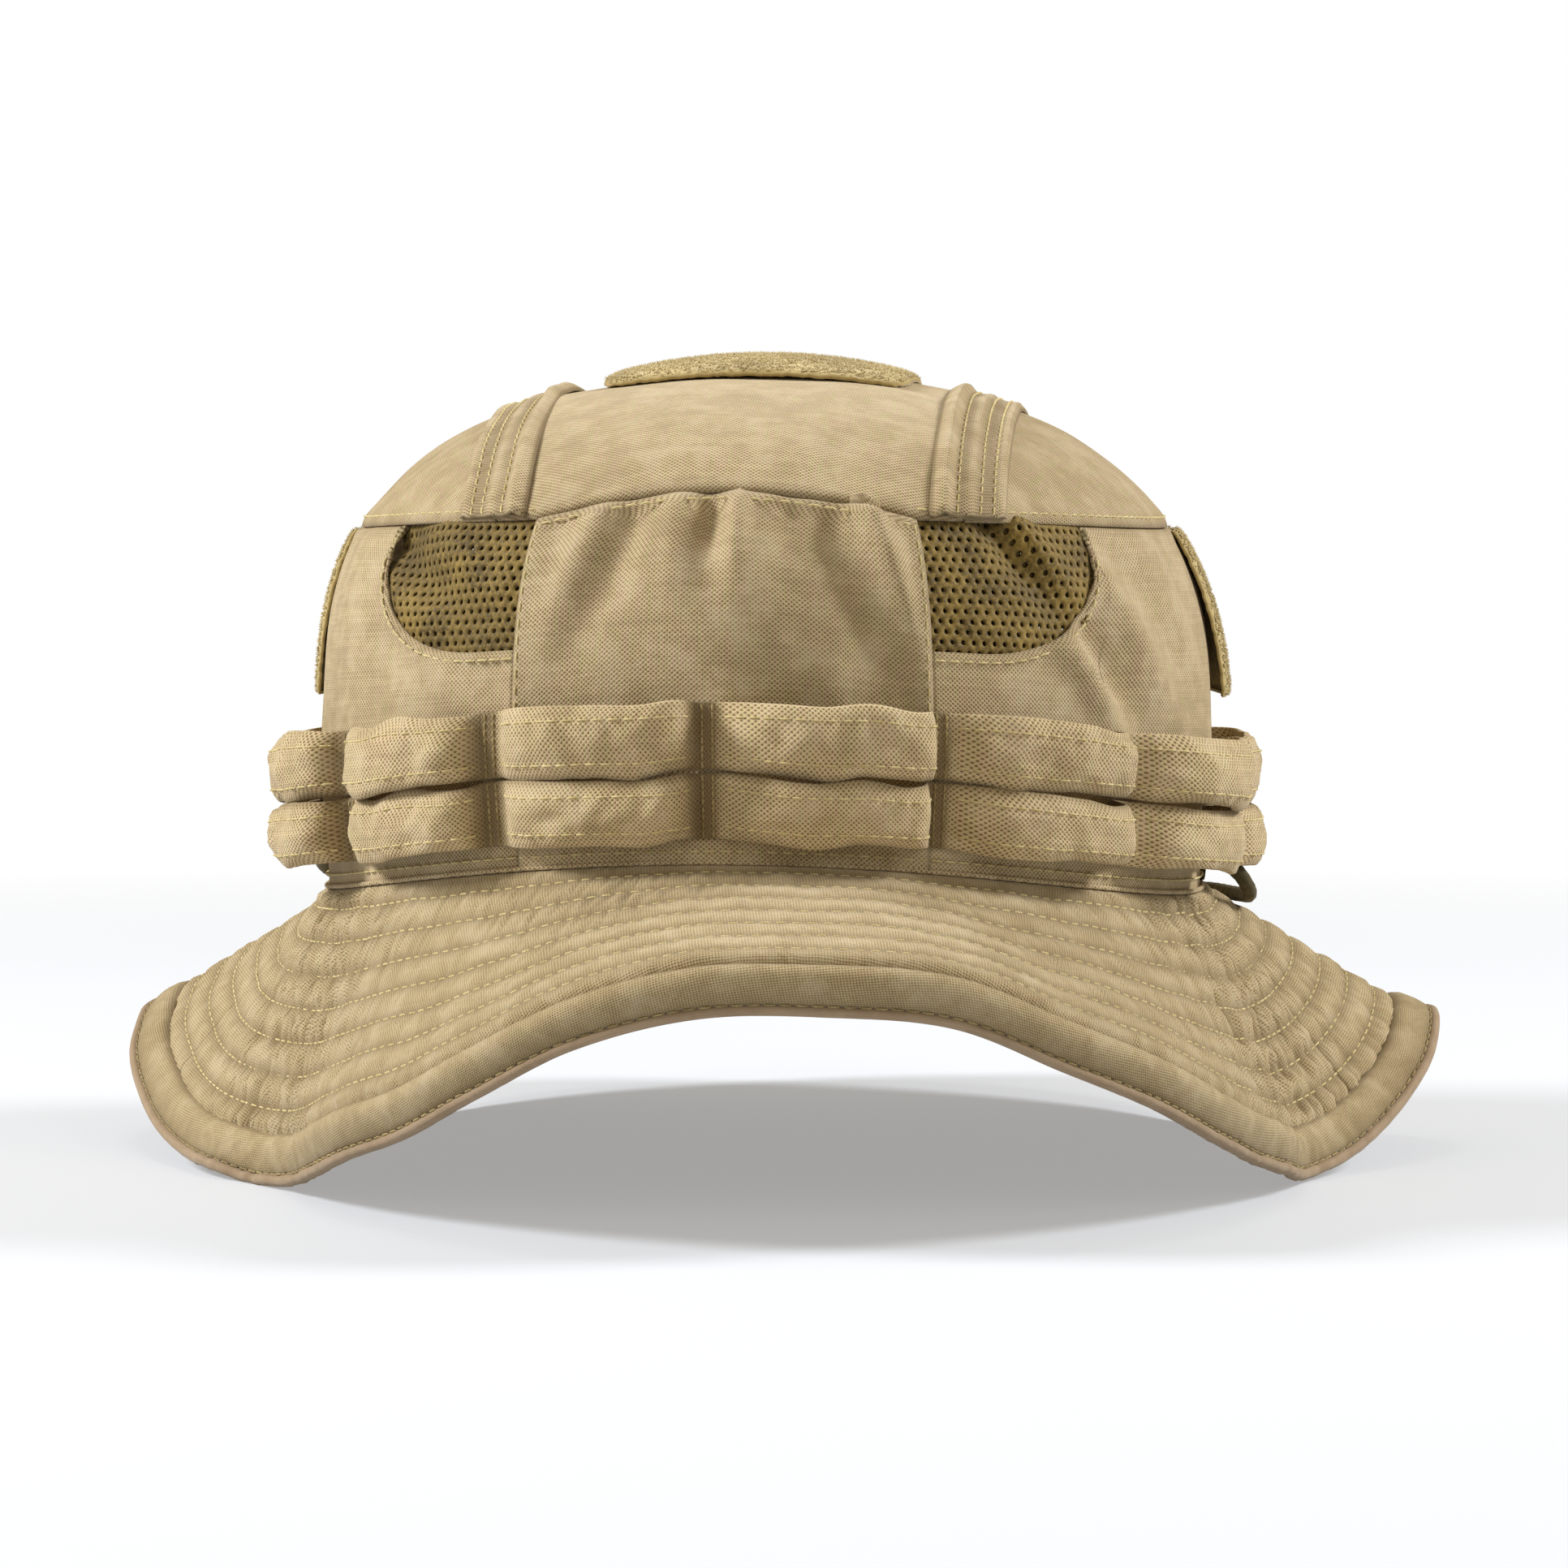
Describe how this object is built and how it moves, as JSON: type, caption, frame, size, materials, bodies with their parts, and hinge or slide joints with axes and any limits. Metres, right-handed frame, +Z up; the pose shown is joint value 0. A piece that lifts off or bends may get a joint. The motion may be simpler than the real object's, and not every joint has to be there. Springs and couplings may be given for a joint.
{
  "type": "boonie hat",
  "caption": "Wide-brimmed soft field hat with mesh-vented crown, sewn foliage loop band, loop-pile patch pads, stitched drooping brim and a chin cord with a spring cord lock.",
  "frame": {"origin": "centre of the hat's footprint on the surface it stands on, under the four drooping corners of the brim", "axes": "+Z up, -Y towards the front of the hat, +X to the right as seen from the front"},
  "size_m": [0.2734, 0.294, 0.1622],
  "materials": {
    "crown_canvas": "plain-woven cotton canvas, khaki, matt, lightly creased",
    "brim_canvas": "finer woven canvas, khaki, stitched in rows, matt",
    "vent_mesh": "olive-gold open polyester mesh, faint sheen",
    "loop_pile": "olive-gold brushed loop pile, matt",
    "band_canvas": "khaki canvas webbing strip with topstitched edges",
    "lining": "plain cotton lining, matt",
    "stiffener": "bonded interlining, matt",
    "cord": "dark olive braided nylon, slight sheen",
    "lock_plastic": "dark olive moulded plastic, fine texture",
    "eyelet_brass": "blackened brass, worn at the rim",
    "spring_steel": "drawn spring steel"
  },
  "bodies": {
    "hat": {"crown_top_center": "crown_canvas", "crown_top_left": "crown_canvas", "crown_top_right": "crown_canvas", "top_strap_left": "crown_canvas", "top_strap_right": "crown_canvas", "front_panel": "crown_canvas", "rear_panel": "crown_canvas", "side_panel_left": "crown_canvas", "side_panel_right": "crown_canvas", "mesh_vent_front_left": "vent_mesh", "mesh_vent_front_right": "vent_mesh", "mesh_vent_rear_left": "vent_mesh", "mesh_vent_rear_right": "vent_mesh", "top_loop_pad": "loop_pile", "side_loop_patch_left": "loop_pile", "side_loop_patch_right": "loop_pile", "foliage_band_upper": "band_canvas", "foliage_band_lower": "band_canvas", "brim_top_front": "brim_canvas", "brim_top_rear": "brim_canvas", "brim_stiffener": "stiffener", "brim_underside_front": "brim_canvas", "brim_underside_rear": "brim_canvas", "brim_edge_binding": "brim_canvas", "sweatband": "lining", "chin_cord": "cord", "chin_cord_eyelet_left": "eyelet_brass", "chin_cord_eyelet_right": "eyelet_brass"},
    "cord_lock": {"cord_lock_body": "lock_plastic", "cord_lock_spring": "spring_steel"},
    "cord_lock_button": {"cord_lock_button": "lock_plastic"}
  },
  "joints": [
    {"name": "cord_lock_slide", "type": "slide", "parent": "hat", "child": "cord_lock", "axis": [0, 0.9021, -0.4315], "range_m": [0, 0.005]},
    {"name": "cord_lock_button_press", "type": "slide", "parent": "cord_lock", "child": "cord_lock_button", "axis": [-1, 0, 0], "range_m": [0, 0.003], "stiffness_N_per_m": 500, "springref_m": -0.004, "deforming": ["cord_lock_spring"]}
  ]
}
